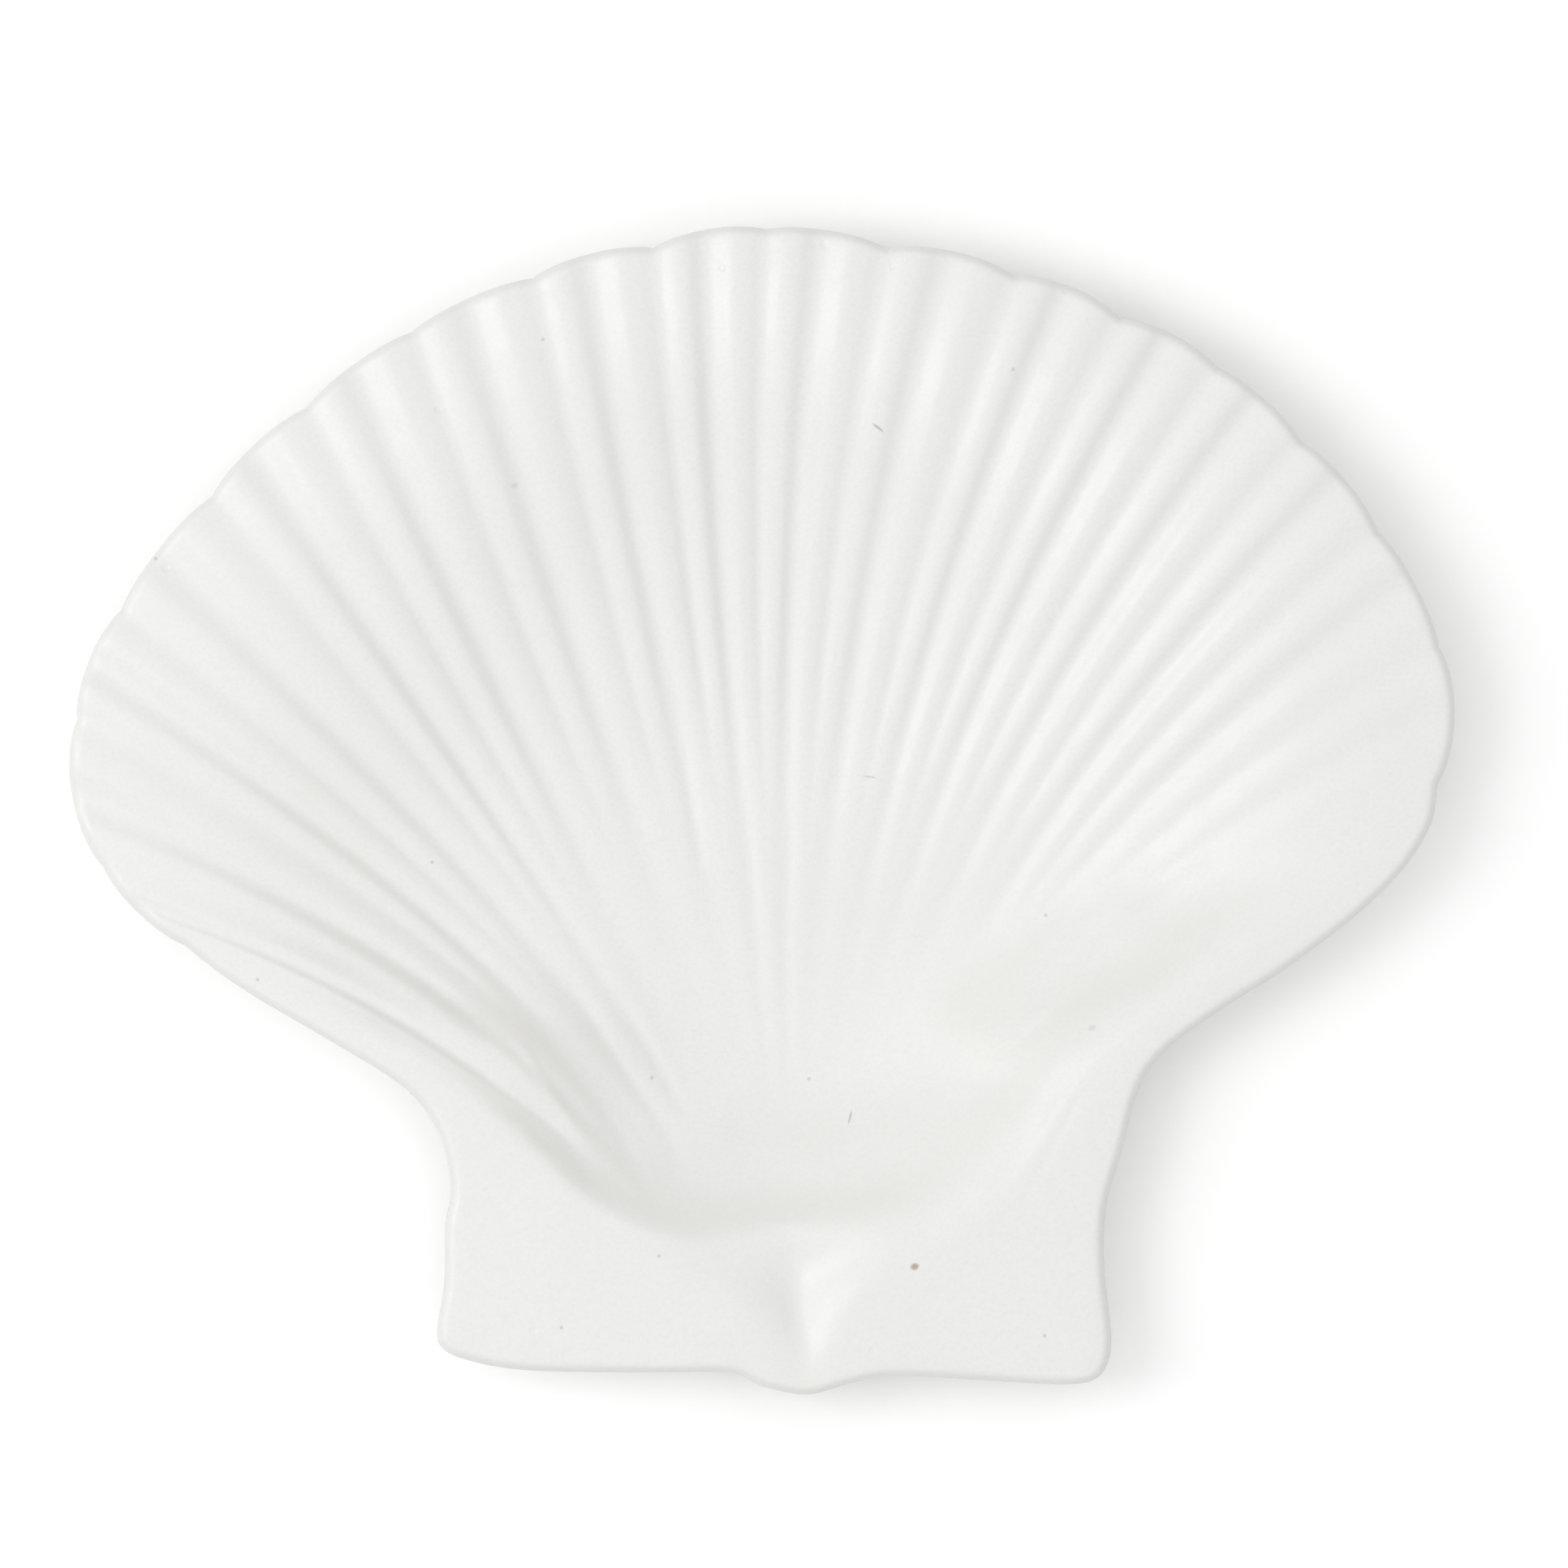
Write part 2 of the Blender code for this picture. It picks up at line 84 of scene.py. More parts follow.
LEFT_NECK = [(-0.232, -0.278), (-0.257, -0.237), (-0.316, -0.193), (-0.374, -0.152)]
RIM = NOTCHES + RIGHT_FLANK + RIGHT_EAR + BEAK + LEFT_EAR + LEFT_NECK
TURN = float(len(RIM))
LAST_NOTCH = len(NOTCHES) - 1
# How far each lobe of the rim swells beyond the straight line between its notches, as a share of that line.
LOBE_SWELL = [
    0.080, 0.124, 0.096, 0.063, 0.070, 0.060, 0.060, 0.080, 0.085,
    0.070, 0.085, 0.095, 0.085, 0.065, 0.073, 0.065, 0.120,
]
LOBE_FULLNESS = 0.85  # power of a parabola: below 1 its shoulders are fuller

# Rib paths. Every rib leaves an oval at the hinge and bends through a waist point on its way to the rim.
HINGE = (0.021, -0.354)
HINGE_REACH = (0.105, 0.045)
# (station, degrees clockwise from the top of the oval)
HINGE_TURN = [
    (0, -84), (1, -73), (2, -61), (3, -45), (4, -32), (5, -23), (6, -15), (7, -9), (8, -4), (9, 0), (10, 4),
    (11, 9), (12, 15), (13, 23), (14, 32), (15, 45), (16, 61), (17, 73), (19, 84), (21, 92), (23, 98),
    (25, 106), (27, 118), (29, 132), (31, 150), (33, 168), (35, 188), (37, 205), (39, 222), (41, 238),
    (43, 250), (45, 260), (47, 269),
]
# (station, share of WIDTH, share of DEPTH)
WAIST = [
    (0, -0.244, -0.180), (1, -0.216, -0.149), (2, -0.180, -0.127), (3.5, -0.147, -0.112), (5, -0.142, -0.069),
    (6, -0.122, -0.013), (7, -0.086, 0.044), (8.5, -0.030, 0.077), (10, 0.021, 0.074), (11.5, 0.076, 0.056),
    (13, 0.116, 0.017), (14.5, 0.155, -0.024), (16, 0.175, -0.068), (17, 0.189, -0.105), (19, 0.203, -0.157),
    (21, 0.194, -0.223), (23, 0.182, -0.278), (25, 0.179, -0.334), (27, 0.167, -0.389), (29, 0.147, -0.417),
    (31, 0.106, -0.427), (33, 0.047, -0.434), (35, 0.006, -0.434), (37, -0.052, -0.425), (39, -0.117, -0.417),
    (41, -0.137, -0.399), (43, -0.146, -0.354), (45, -0.163, -0.292), (46, -0.178, -0.264),
    (47, -0.203, -0.233), (48, -0.228, -0.205),
]

# Bowl. It deepens towards BOWL_CENTRE. Its upper edge follows the fan close to the rim, then these points
# past the right flank, the right ear, the pointed beak hollow, the left ear and the left neck.
BOWL_CENTRE = (0.012, -0.174)
EDGE_PAST_EARS = [
    (0.475, -0.008), (0.440, -0.056), (0.381, -0.113), (0.323, -0.158), (0.273, -0.210), (0.238, -0.275),
    (0.203, -0.330), (0.153, -0.378), (0.100, -0.400), (0.062, -0.412), (0.027, -0.418), (-0.008, -0.413),
    (-0.040, -0.403), (-0.081, -0.384), (-0.119, -0.355), (-0.152, -0.321), (-0.184, -0.285),
    (-0.219, -0.245), (-0.269, -0.203), (-0.327, -0.169), (-0.374, -0.144), (-0.418, -0.112),
]
RIM_BORDER = 0.008  # share of WIDTH between the bowl edge and the rim of the fan
# (degrees anticlockwise from +X, power, share): how the floor curves up, and the share of the way that
# levels off.
RISE = [
    (0, 2.4, 0.40), (30, 2.5, 0.50), (60, 2.7, 0.46), (90, 2.5, 0.30), (120, 2.4, 0.36), (150, 2.2, 0.46),
    (175, 2.2, 0.44), (190, 2.25, 0.36), (203, 2.4, 0.22), (220, 2.5, 0.12), (236, 2.3, 0.16),
    (258, 2.1, 0.20), (284, 2.1, 0.28), (305, 2.1, 0.36), (335, 2.3, 0.40),
]
# (station, share): how much of each column lies inside the bowl.
BOWL_PART = [
    (0, 0.93), (1, 0.955), (9, 0.965), (16, 0.955), (17, 0.94), (19, 0.90), (21, 0.84), (23, 0.74),
    (25, 0.62), (27, 0.48), (29, 0.42), (31, 0.55), (33, 0.72), (35, 0.72), (37, 0.55), (39, 0.42),
    (41, 0.42), (43, 0.48), (45, 0.58), (46, 0.68), (47, 0.80), (48, 0.89),
]
FLOOR_BLEND = 0.014  # the floor's curvature is evened out over this distance
FLOOR_PART = 0.65  # from this far inside the bowl edge
INNER_RING = 0.5  # share of that distance for every second point of the ring
# (degrees, share): how much of the rim height belongs to the ears.
EAR_SHARE = [(10, 0.0), (90, 0.0), (170, 0.0), (200, 1.0), (270, 1.0), (335, 1.0)]
FOOT_CENTRE = (0.004, -0.070)

# Beak hollow: two facets that meet along an axis and run down from its tip into the bowl.
PIT_TIP = (0.033, -0.481)
PIT_TOWARDS = (0.023, -0.389)
PIT_FALL = 0.30  # slope along the axis
PIT_SIDE = 0.62  # slope of each side at the tip
PIT_FLARE = 0.030  # the sides spread out over this distance from the tip
PIT_LENGTH = 0.030  # it fades out beyond about this distance from the tip
PIT_ROUNDING = 0.0016
PIT_BLEND = 0.0030  # how softly it opens into the bowl

# Ribs
# (station, share): how strong they are.
RIB_SHARE = [
    (0, 0.0), (0.5, 0.45), (1, 0.42), (1.5, 1.0), (2, 0.85), (3, 1.1), (9, 1.0), (13, 1.1), (15, 0.85),
    (16, 0.50), (17, 0.15), (18, 0.0), (47, 0.0), (48, 0.0),
]
# (station, share): how far from the hinge they begin.
RIB_START = [(0, 0.04), (4, 0.05), (7, 0.08), (9, 0.06), (12, 0.12), (14, 0.20), (17, 0.30), (48, 0.05)]
RIB_GROWTH = 0.50  # share of the way over which they rise
RIB_FULL = 0.85  # share of the way where they have their full height
RIB_GROWTH_POWER = 1.2
RIB_SPLIT = 0.30  # share of the way to the rim where the two ribs of a lobe begin to part
RIB_SPLIT_LENGTH = 0.35
UNDER_RIBS = 0.55  # share of the rib height that shows under the platter
# Across a lobe, as shares of the way from its first groove to its second
FIRST_CREST = 0.23
WIDE_VALLEY = 0.47
SECOND_CREST = 0.74
GROOVE_DEPTH = 0.45  # how far a sharp groove would cut below the middle height, the crests being 1 above it
GROOVE_POWER = 2.2  # how steeply its sides fall
# (station, share of its side): how rounded each groove is.
GROOVE_SOFTNESS = [(0, 0.5), (1, 0.5), (2, 0.12), (16, 0.12), (18, 0.4), (47, 0.5)]

# The photograph's frame: how many of its pixels span the platter, and where the outline's middle is.
PHOTO_SIDE = 1932
PHOTO_MIDDLE = (939, 999)
PHOTO_SPAN = (1708, 1442)

# Grooves that stand out from the regular ribs: (depth, half width, points of the photograph). A negative
# depth is a ridge. The widest ones soften steep walls.
LINES = [
    (0.00170, 0.0040, [
        (345, 1200), (450, 1234), (515, 1266), (580, 1308), (637, 1358), (684, 1406), (777, 1514),
    ]),
    (0.00020, 0.0019, [(504, 1194), (578, 1267), (625, 1315), (657, 1357), (704, 1415), (745, 1475)]),
    (0.00022, 0.0019, [(599, 1204), (652, 1262), (699, 1315), (736, 1362), (778, 1425), (815, 1490)]),
    (0.00022, 0.0017, [(683, 1188), (731, 1262), (778, 1331), (820, 1399), (848, 1465)]),
    (0.00016, 0.0016, [(757, 1225), (799, 1294), (845, 1380)]),
    (0.00018, 0.0014, [(780, 640), (830, 830), (858, 1040), (868, 1090)]),
    (0.00018, 0.0014, [(812, 330), (832, 530), (860, 800), (875, 890)]),
    (-0.00090, 0.0080, [(1130, 1310), (1200, 1262), (1285, 1186), (1370, 1140), (1440, 1110)]),
    (0.00060, 0.0070, [(1170, 1390), (1240, 1340), (1335, 1262), (1420, 1205), (1500, 1180)]),
    (-0.00060, 0.0085, [(800, 1400), (900, 1425), (1000, 1430), (1100, 1405), (1180, 1360)]),
    (0.00040, 0.0060, [(820, 1530), (900, 1550), (1000, 1555), (1100, 1535), (1180, 1500)]),
    (-0.00016, 0.0011, [(625, 1262), (680, 1350), (725, 1412)]),
    (-0.00012, 0.0016, [(725, 1245), (790, 1340), (840, 1440)]),
    (0.00010, 0.0016, [(915, 940), (930, 1150), (940, 1300), (950, 1400)]),
    (0.00010, 0.0016, [(978, 980), (966, 1150), (972, 1410)]),
    (0.00020, 0.0016, [(1345, 1215), (1300, 1250), (1245, 1300)]),
    (0.00022, 0.0018, [(1330, 1300), (1285, 1370), (1215, 1480)]),
    (0.00016, 0.0014, [(1350, 1320), (1310, 1390), (1250, 1500)]),
]
LINE_END = 0.25  # share of its length over which each line fades at its ends

# Fine mesh steps
COLUMNS_PER_LOBE = 22
COLUMNS_PER_STATION = 4
HINGE_ROWS = 10
TOP_ROWS = 92
BORDER_ROWS = 7
EDGE_ROWS = 11
UNDER_ROWS = 40
UNDER_HINGE_ROWS = 5
RING_STEPS = 160
QUARTER_STEPS = 5
SLOPE_STEP = 0.0005  # metres between the points that a slope is worked out from
NORMAL_STEP = 0.04  # stations between the points that a direction of the rim is worked out from
BLEND_STEPS = 12
CLIMB_STEPS = 6
PATH_POINTS = 80


# Shape in plan


def scaled(shares):
    """Shares of WIDTH and DEPTH as a place in plan."""
    return np.asarray(shares, float) * (WIDTH, DEPTH)


def photo(x, y):
    """A point of the photograph as a place in plan."""
    shares = (x - PHOTO_MIDDLE[0]) / PHOTO_SPAN[0], (PHOTO_MIDDLE[1] - y) / PHOTO_SPAN[1]
    return scaled(shares)


def ramp(share):
    """A soft step from 0 to 1."""
    share = np.clip(share, 0, 1)
    return share * share * (3 - 2 * share)


def through(keys, at, turn):
    """A smooth closed curve through (station, value...) keys, read at the stations in at."""
    table = np.array(keys, float)
    knots, values = table[:, 0], table[:, 1:]
    knots = np.concatenate([knots[-2:] - turn, knots, knots[:2] + turn])
    values = np.concatenate([values[-2:], values, values[:2]])
    slopes = (values[2:] - values[:-2]) / (knots[2:] - knots[:-2])[:, None]
    at = np.mod(np.asarray(at, float), turn)
    left = np.clip(np.searchsorted(knots, at, side="right") - 1, 1, len(knots) - 3)
    span = (knots[left + 1] - knots[left])[:, None]
    u = (at - knots[left])[:, None] / span
    start, end = values[left], values[left + 1]
    bend = u * (1 - u) ** 2 * slopes[left - 1] * span - u * u * (1 - u) * slopes[left] * span
    return start * (1 + 2 * u) * (1 - u) ** 2 + end * u * u * (3 - 2 * u) + bend


def rim_shares(stations):
    """The outline in plan: swelling lobes between the notches, a smooth curve elsewhere."""
    keys = [(i, *point) for i, point in enumerate(RIM)]
    points = through(keys, stations, TURN)
    for row, station in enumerate(stations):
        lobe = int(station)
        if lobe >= LAST_NOTCH:
            continue
        u = station - lobe
        start, end = scaled(NOTCHES[lobe]), scaled(NOTCHES[lobe + 1])
        along = end - start
        outward = np.array([-along[1], along[0]])
        swell = LOBE_SWELL[lobe] * (4 * u * (1 - u)) ** LOBE_FULLNESS
        points[row] = (start + u * along + swell * outward) / (WIDTH, DEPTH)
    return points


def fine_stations():
    """The stations of all columns of the mesh, closer together on the fan."""
    fan = np.arange(0, LAST_NOTCH, 1 / COLUMNS_PER_LOBE)
    rest = np.arange(LAST_NOTCH, len(RIM), 1 / COLUMNS_PER_STATION)
    return np.concatenate([fan, rest])


def rim_points(stations):
    """The outline fitted exactly into WIDTH by DEPTH."""
    low, high = RIM_CORNERS
    return scaled((rim_shares(stations) - low) / (high - low) - 0.5)


def rim_normals(stations):
    """Unit directions square to the outline, pointing inwards."""
    after = rim_points(np.mod(stations + NORMAL_STEP, TURN))
    along = after - rim_points(np.mod(stations - NORMAL_STEP, TURN))
    return np.column_stack([along[:, 1], -along[:, 0]]) / np.hypot(*along.T)[:, None]


def hinge_points(stations):
    """Where each column leaves the hinge oval."""
    turns = [(station, math.radians(turn)) for station, turn in HINGE_TURN]
    keys = [(station, math.sin(turn), math.cos(turn)) for station, turn in turns]
    around = through(keys, stations, TURN)
    around /= np.hypot(*around.T)[:, None]
    return scaled(np.array(HINGE) + around * HINGE_REACH)


def edge_polygon():
    """The upper edge of the bowl in plan, as one closed loop of points."""
    centre = scaled(BOWL_CENTRE)
    fan = rim_points(np.arange(1.0, LAST_NOTCH))
    reach = np.hypot(*(fan - centre).T)[:, None]
    fan = centre + (fan - centre) * (1 - RIM_BORDER * WIDTH / reach)
    return np.concatenate([fan, scaled(EDGE_PAST_EARS)])


def polar(plan):
    """Angle in degrees and distance from the middle of the bowl."""
    off = plan - scaled(BOWL_CENTRE)
    return np.mod(np.degrees(np.arctan2(off[..., 1], off[..., 0])), 360), np.hypot(off[..., 0], off[..., 1])


def edge_keys():
    """The bowl edge as (degrees, distance) keys, in order of angle."""
    angle, distance = polar(edge_polygon())
    order = np.argsort(angle)
    return np.column_stack([angle[order], distance[order]])


# Heights


def bowl_share(plan):
    """0 in the middle of the bowl, 1 on its upper edge, with the angle of each point."""
    angle, distance = polar(plan)
    return distance / through(EDGE_KEYS, angle, 360.0)[:, 0], angle


def climb(share, power, level):
    """The height gained on the way out: the slope grows as a power of the way, then levels off."""
    start = 1 - level
    height = np.minimum(share, start) ** power / power
    rest = np.clip(share - start, 0, level)
    for place, weight in zip(*np.polynomial.legendre.leggauss(CLIMB_STEPS)):
        way = 0.5 * rest * (1 + place)
        height += 0.5 * rest * weight * (start + way) ** (power - 1) * (1 - ramp(way / level))
    return height


def sharp_height(plan):
    """Share of the full depth, 0 in the middle of the floor and 1 on the level border."""
    share, angle = bowl_share(plan)
    power, level = through(RISE, angle, 360.0).T
    return climb(share, power, level) / climb(np.ones(len(share)), power, level)


def bowl_height(plan):
    """The share of the full depth, averaged over small rings on the floor so that no crease shows there."""
    reach = FLOOR_BLEND * ramp((1 - bowl_share(plan)[0]) / FLOOR_PART)[:, None]
    total = sharp_height(plan)
    for step in range(BLEND_STEPS):
        turn = math.tau * step / BLEND_STEPS
        size = reach * (1.0 if step % 2 else INNER_RING)
        total += sharp_height(plan + size * (math.cos(turn), math.sin(turn)))
    return total / (BLEND_STEPS + 1)


def pit_depth(plan):
    """Depth of the pointed hollow in the beak."""
    tip = scaled(PIT_TIP)
    axis = scaled(PIT_TOWARDS) - tip
    axis /= np.hypot(*axis)
    along = (plan - tip) @ axis
    across = (plan - tip) @ np.array([-axis[1], axis[0]])
    side = PIT_SIDE / (1 + (along / PIT_FLARE) ** 2)
    depth = PIT_FALL * along - side * (np.sqrt(across**2 + PIT_ROUNDING**2) - PIT_ROUNDING)
    return 0.5 * (depth + np.sqrt(depth**2 + PIT_ROUNDING**2)) * np.exp(-((along / PIT_LENGTH) ** 4))


def surface_height(plan):
    """Height of the smooth inside surface, before any ribs."""
    share = bowl_height(plan)
    ear = np.clip(through(EAR_SHARE, polar(plan)[0], 360.0)[:, 0], 0, 1)
    rim = HEIGHT - 0.5 * RIB_HEIGHT * (1 - ear) - EAR_DROP * ear
    bowl = (rim - FOOT_HEIGHT - WALL) * (1 - share)
    pit = pit_depth(plan)
    blend = PIT_BLEND * ramp(pit / PIT_BLEND)
    return rim - 0.5 * (bowl + pit + np.sqrt((bowl - pit) ** 2 + blend**2) - blend)


def tilt_of(plan):
    """Slope of the smooth inside surface."""
    total = np.zeros(plan.shape[:-1])
    for shift in ((SLOPE_STEP, 0), (0, SLOPE_STEP)):
        rise = surface_height(plan + shift) - surface_height(plan - np.array(shift))
        total += (rise / (2 * SLOPE_STEP)) ** 2
    return np.sqrt(total)


def flat_call(function, plan):
    """Calls a height function that takes one list of points on a grid of them."""
    return function(plan.reshape(-1, 2)).reshape(plan.shape[:-1])


def under_surface(plan, relief):
    """Height of the underside: one wall below the inside, measured square to it, with softer ribs."""
    base = flat_call(surface_height, plan)
    return base - WALL * np.sqrt(1 + flat_call(tilt_of, plan) ** 2) + UNDER_RIBS * relief


def rib_profile(stations):
    """Rib height from -1 to 1 across a lobe: sharp groove, crest, wide valley, crest, sharp groove."""
    u = np.mod(stations, 1.0)
    soft = through(GROOVE_SOFTNESS, stations, TURN)[:, 0]
    first, last = (
        1 - (1 + GROOVE_DEPTH) * np.clip(1 + 0.5 * soft - np.hypot(way, soft), 0, 1) ** GROOVE_POWER
        for way in (u / FIRST_CREST, (1 - u) / (1 - SECOND_CREST))
    )
    down = np.cos(math.pi * np.clip((u - FIRST_CREST) / (WIDE_VALLEY - FIRST_CREST), 0, 1))
    up = -np.cos(math.pi * np.clip((u - WIDE_VALLEY) / (SECOND_CREST - WIDE_VALLEY), 0, 1))
    outer = np.where(u < SECOND_CREST, up, last)
    profile = np.where(u < FIRST_CREST, first, np.where(u < WIDE_VALLEY, down, outer))
    return np.where(stations > TURN - 1, last, profile)


def rib_reach(share, start):
    """The ribs grow from nothing near the hinge to full height on the outer third of their way."""
    return ramp((share - start) / RIB_GROWTH) * np.clip(share / RIB_FULL, 0, 1) ** RIB_GROWTH_POWER


def rib_relief(stations, way):
    """Height of the ribs over the smooth bowl, for rows by columns.

    Near the hinge each lobe is one broad valley, and further out it has its two crests.
    """
    share = np.clip(through(RIB_SHARE, stations, TURN)[:, 0], 0, 1)
    start = through(RIB_START, stations, TURN)[:, 0]
    broad = np.cos(2 * math.pi * (stations + 0.5 - WIDE_VALLEY))
    profile = broad + ramp((way - RIB_SPLIT) / RIB_SPLIT_LENGTH) * (rib_profile(stations) - broad)
    return 0.5 * RIB_HEIGHT * share * profile * rib_reach(way, start)


def line_relief(plan):
    """Height of the single grooves and ridges that stand out from the regular ribs."""
    relief = np.zeros(plan.shape[:-1])
    for depth, reach, corners in LINES:
        places = [photo(*corner) for corner in corners]
        nearest = np.full(relief.shape, np.inf)
        along = np.zeros(relief.shape)
        for step, (start, end) in enumerate(zip(places, places[1:])):
            way = end - start
            share = np.clip((plan - start) @ way / (way @ way), 0, 1)
            off = np.hypot(*np.moveaxis(plan - start - share[..., None] * way, -1, 0))
            along = np.where(off < nearest, (step + share) / (len(places) - 1), along)
            nearest = np.minimum(off, nearest)
        ends = ramp(along / LINE_END) * ramp((1 - along) / LINE_END)
        relief -= depth * ends * np.exp(-((nearest / reach) ** 2))
    return relief


# Meshes


def along_curve(curve, covered, steps):
    """Points on a curve at the given distances from its start."""
    return np.column_stack([np.interp(steps, covered, axis) for axis in curve.T])


def column_rows(stations):
    """Plan points for the inside and the underside, with the share of the way to the rim of each row."""
    hinge, rim = hinge_points(stations), rim_points(stations)
    waist = scaled(through(WAIST, stations, TURN))
    inner = rim + 0.5 * WALL * rim_normals(stations)
    part = through(BOWL_PART, stations, TURN)[:, 0]
    middle = scaled(HINGE)
    t = np.linspace(0, 1, PATH_POINTS)[:, None]
    leads = np.linspace(0, 1, HINGE_ROWS + 1)[1:, None]
    under_leads = np.linspace(1, 0, UNDER_HINGE_ROWS + 1)[1:-1, None]
    inside, inside_way, under, under_way = [], [], [], []
    for near, bend, far, share in zip(hinge, waist, inner, part):
        curve = (1 - t) ** 2 * near + 2 * t * (1 - t) * bend + t * t * far
        covered = np.concatenate([[0], np.cumsum(np.hypot(*np.diff(curve, axis=0).T))])
        lead = np.hypot(*(near - middle))
        whole = lead + covered[-1]
        steps = np.concatenate([
            np.linspace(0, share, TOP_ROWS + 1)[1:],
            np.linspace(share, 1, BORDER_ROWS + 1)[1:],
        ]) * covered[-1]
        places = along_curve(curve, covered, steps)
        inside.append(np.concatenate([middle + leads * (near - middle), places]))
        inside_way.append(np.concatenate([leads[:, 0] * lead, lead + steps]) / whole)
        steps = np.linspace(1, 0, UNDER_ROWS) * covered[-1]
        places = along_curve(curve, covered, steps)
        under.append(np.concatenate([places, middle + under_leads * (near - middle)]))
        under_way.append(np.concatenate([lead + steps, under_leads[:, 0] * lead]) / whole)
    swap = (1, 0, 2)
    return (
        np.array(inside).transpose(swap), np.array(inside_way).T,
        np.array(under).transpose(swap), np.array(under_way).T, rim,
    )


def shell_points():
    """The closed skin of the platter as rows of points, with the two poles at the hinge."""
    stations = fine_stations()
    inside, way, under, under_way, rim = column_rows(stations)
    top = flat_call(surface_height, inside) + rib_relief(stations, way) + line_relief(inside)
    top = np.minimum(top, HEIGHT - TOP_CLEARANCE)
    bottom = under_surface(under, rib_relief(stations, under_way))
    rows = [np.column_stack([plan, height]) for plan, height in zip(inside, top)]
    last, first = inside[-1], bottom[0]
    centre, half = 0.5 * (top[-1] + first), 0.5 * (top[-1] - first)
    for angle in np.linspace(0, math.pi, EDGE_ROWS + 2)[1:-1]:
        plan = last + (rim - last) * math.sin(angle)
        rows.append(np.column_stack([plan, centre + half * math.cos(angle)]))
    rows += [np.column_stack([plan, height]) for plan, height in zip(under, bottom)]
    middle = scaled(HINGE)[None, :]
    poles = surface_height(middle)[0], under_surface(middle[None], 0.0)[0, 0]
    return np.array(rows), [(*middle[0], height) for height in poles]


def new_object(name, points, faces, material):
    """A smooth-shaded mesh object."""
    mesh = bpy.data.meshes.new(name)
    mesh.from_pydata([tuple(point) for point in points], [], faces)
    mesh.validate()
    mesh.polygons.foreach_set("use_smooth", [True] * len(mesh.polygons))
    mesh.materials.append(material)
    obj = bpy.data.objects.new(name, mesh)
    bpy.context.scene.collection.objects.link(obj)
    return obj


def shell_object(material):
    """The platter without its foot ring: rows of four-sided faces, closed by a fan at each pole."""
    rows, poles = shell_points()
    count, across = rows.shape[:2]
    points = np.concatenate([rows.reshape(-1, 3), poles])
    top_pole = count * across
    last_row = top_pole - across
    faces = []
    for i in range(across):
        after = (i + 1) % across
        faces.append((top_pole, after, i))
        faces.append((top_pole + 1, last_row + i, last_row + after))
        for row in range(0, last_row, across):
            faces.append((row + i, row + after, row + across + after, row + across + i))
    return new_object("platter_skin", points, faces, material)


def foot_object(material):
    """The foot ring, flaring into the underside with a small fillet of glaze on each side."""
    half = 0.5 * FOOT_WALL
    rounding = FOOT_ROUNDING * FOOT_WALL
    quarter = np.linspace(0, 0.5 * math.pi, QUARTER_STEPS)
    # (offset from the ring's middle line, height above the table, share of the height of the underside)
    fillet = [
        (half + RING_FILLET * (1 - math.sin(a)), -RING_FILLET * (1 - math.cos(a)), 1.0) for a in quarter
    ]
    foot = [(half - rounding * (1 - math.cos(a)), rounding * (1 - math.sin(a)), 0.0) for a in quarter]
    section = fillet + foot
    section = section + [(-offset, height, share) for offset, height, share in reversed(section)]
    middle = scaled(FOOT_CENTRE)
    radius = 0.5 * FOOT_WIDTH - half
    squash = FOOT_DEPTH / FOOT_WIDTH
    turns = np.linspace(0, 2 * math.pi, RING_STEPS, endpoint=False)
    outward = np.column_stack([np.cos(turns), np.sin(turns) * squash])
    offsets, rises, shares = np.array(section).T
    plan = middle + outward[:, None] * (radius + offsets)[None, :, None]
    height = rises + shares * (under_surface(plan, 0.0) + FILLET_SINK)
    points = np.concatenate([plan, height[..., None]], axis=-1).reshape(-1, 3)
    per = len(section)
    faces = []
    for step in range(RING_STEPS):
        near, far = step * per, (step + 1) % RING_STEPS * per
        faces += [(near + k, far + k, far + k + 1, near + k + 1) for k in range(per - 1)]
        faces.append((near + per - 1, far + per - 1, far, near))
    ring = new_object("platter_foot_ring", points, faces, material)
    bm = bmesh.new()
    bm.from_mesh(ring.data)
    bmesh.ops.recalc_face_normals(bm, faces=bm.faces)
    bm.to_mesh(ring.data)
    bm.free()
    return ring


# Materials

WHITE = (1.0, 1.0, 1.0, 1.0)
GLAZE = (0.848, 0.848, 0.834, 1.0)
# Darker, warmer glaze: pooled in random clouds, and painted shade on steep walls
POOLED_GLAZE_AND_SHADE = (0.812, 0.806, 0.776, 1.0)
GRAIN = (0.796, 0.794, 0.774, 1.0)
THIN_GLAZE = (0.74, 0.66, 0.60, 1.0)
BARE_CLAY = (0.62, 0.52, 0.42, 1.0)
GLAZE_IOR = 1.5
BARE_ROUGHNESS = (0.3, 0.85)  # beside the bare clay, and on it

# Patterns: (noise scale, detail, noise where they start, noise where they are full, lowest, highest).
CLOUDS = (28.0, 4.0, 0.35, 0.7, 0.0, 0.35)  # share of pooled glaze
FINE_GRAIN = (1300.0, 2.0, 0.35, 0.75, 0.0, 0.55)  # share of grain
THIN_PATCHES = (90.0, 3.0, 0.35, 0.7, 0.15, 0.55)  # share of thin glaze along the rim
SHEEN = (160.0, 3.0, 0.3, 0.7, 0.28, 0.36)  # roughness

# Where a change starts and where it is full. Slopes are the height of the surface's unit normal.
STEEP = (0.97, 0.80)
FACING_UP = (0.1, 0.3)
ON_EDGE = (0.62, 0.15)
RIM_BAND = (HEIGHT - 0.006, HEIGHT - 0.0025)  # metres above the table
BARE_BAND = (0.0009, 0.0004)  # metres above the table
SPOT_EDGE = (1.25, 0.45)  # shares of a mark's half length
STEEP_POOLING_AND_SHADE = 0.6  # share of darker, warmer glaze on steep walls: partly pooled glaze, partly painted shade
